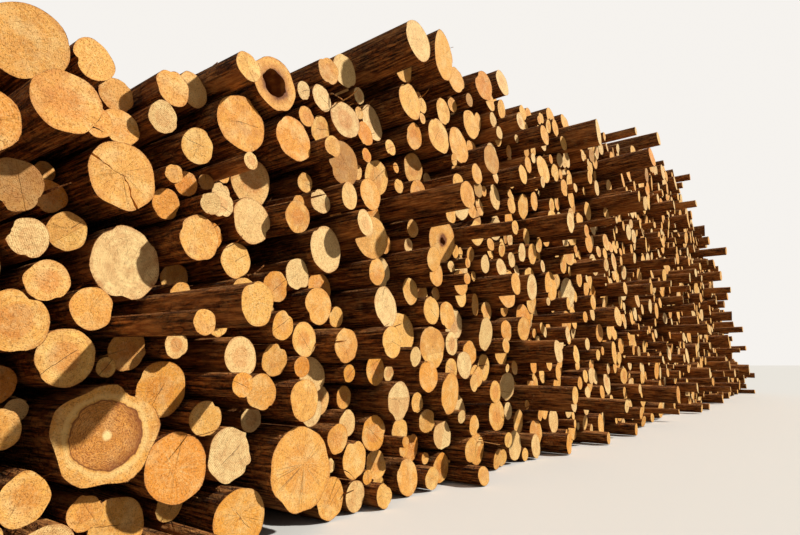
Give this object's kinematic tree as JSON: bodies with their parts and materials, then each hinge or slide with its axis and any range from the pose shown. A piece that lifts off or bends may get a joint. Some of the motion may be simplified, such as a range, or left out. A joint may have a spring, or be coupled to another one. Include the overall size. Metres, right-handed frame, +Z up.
{
  "type": "stack of logs",
  "caption": "Long stack of roundwood logs of mixed diameters with their sawn ends to the front, rising to a crown and sloping to the ground at both ends.",
  "frame": {"origin": "bottom centre of the stack on the ground", "axes": "+X along the stack, +Y from the front face to the back, +Z up"},
  "size_m": [33.802, 5.9032, 7.3613],
  "materials": {
    "wood": "rough sawn ends and dry bark"
  },
  "bodies": {
    "root": {"bay_01_logs": "wood", "bay_02_logs": "wood", "bay_03_logs": "wood", "bay_04_logs": "wood", "bay_05_logs": "wood", "bay_06_logs": "wood", "bay_07_logs": "wood", "bay_08_logs": "wood", "bay_09_logs": "wood", "bay_10_logs": "wood", "bay_11_logs": "wood", "bay_12_logs": "wood", "bay_13_logs": "wood", "bay_14_logs": "wood", "bay_15_logs": "wood", "bay_16_logs": "wood", "bay_17_logs": "wood", "bay_18_logs": "wood", "bay_19_logs": "wood", "bay_20_logs": "wood", "bay_21_logs": "wood", "bay_22_logs": "wood", "bay_23_logs": "wood", "cracked_log": "wood", "crown_log": "wood", "double_heart_log": "wood", "far_reaching_log": "wood", "giant_butt_log": "wood", "hollow_log": "wood", "lobed_butt_log": "wood", "rotten_heart_log": "wood", "torn_log": "wood"}
  },
  "joints": []
}
